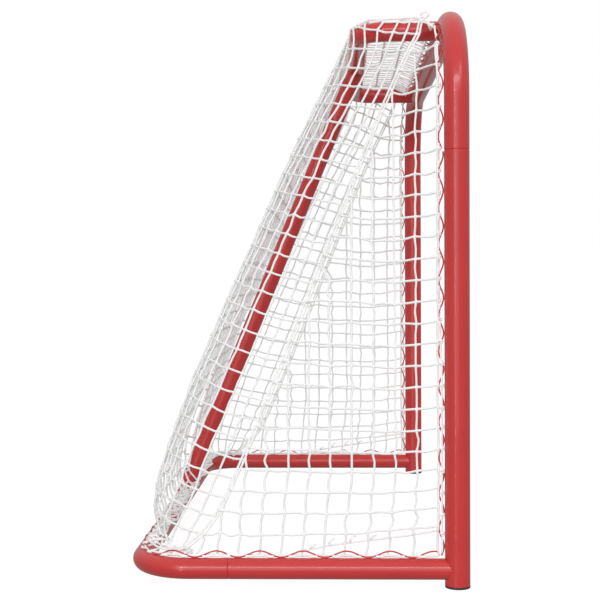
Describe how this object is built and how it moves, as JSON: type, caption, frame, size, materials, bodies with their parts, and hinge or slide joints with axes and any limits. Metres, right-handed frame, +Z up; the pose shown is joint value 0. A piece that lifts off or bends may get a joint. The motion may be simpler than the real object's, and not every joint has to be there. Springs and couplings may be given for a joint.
{
  "type": "hockey goal net",
  "caption": "Tubular steel ice hockey goal with an open mouth, a shallow top frame, a centre back stay, a base frame and a laced rope net.",
  "frame": {"origin": "on the floor, at the centre of the goal's footprint; the goal line through the post centres is at Y = -0.306 m", "axes": "+X along the crossbar, +Y from the goal mouth to the back, +Z up"},
  "size_m": [1.37, 0.6599, 1.12],
  "materials": {
    "frame_tube": "satin red powder coat",
    "lacing_wire": "satin red powder coat on steel wire",
    "spigot": "bright zinc-plated tube",
    "foot_cap": "matte black moulded plastic",
    "net": "white knotless braided polyester cord",
    "rope": "white braided polyester rope"
  },
  "bodies": {
    "root": {"back_stay": "frame_tube", "crossbar_hoop": "frame_tube", "crossbar_lacing_wire": "lacing_wire", "crossbar_rope": "rope", "left_base_lacing_wire": "lacing_wire", "left_base_rope": "rope", "left_base_side_tube": "frame_tube", "left_base_spigot": "spigot", "left_corner_lacing_wire": "lacing_wire", "left_foot_cap": "foot_cap", "left_lower_post": "frame_tube", "left_post_lacing_wire": "lacing_wire", "left_post_rope": "rope", "left_post_spigot": "spigot", "left_rear_corner_lacing_wire": "lacing_wire", "left_rear_lacing_wire": "lacing_wire", "left_seam_rope": "rope", "left_top_frame_spigot": "spigot", "net_main": "net", "net_side_left": "net", "net_side_right": "net", "rear_base_tube": "frame_tube", "right_base_lacing_wire": "lacing_wire", "right_base_rope": "rope", "right_base_side_tube": "frame_tube", "right_base_spigot": "spigot", "right_corner_lacing_wire": "lacing_wire", "right_foot_cap": "foot_cap", "right_lower_post": "frame_tube", "right_post_lacing_wire": "lacing_wire", "right_post_rope": "rope", "right_post_spigot": "spigot", "right_rear_corner_lacing_wire": "lacing_wire", "right_rear_lacing_wire": "lacing_wire", "right_seam_rope": "rope", "right_top_frame_spigot": "spigot", "stay_lower_spigot": "spigot", "stay_upper_spigot": "spigot", "top_frame": "frame_tube"}
  },
  "joints": []
}
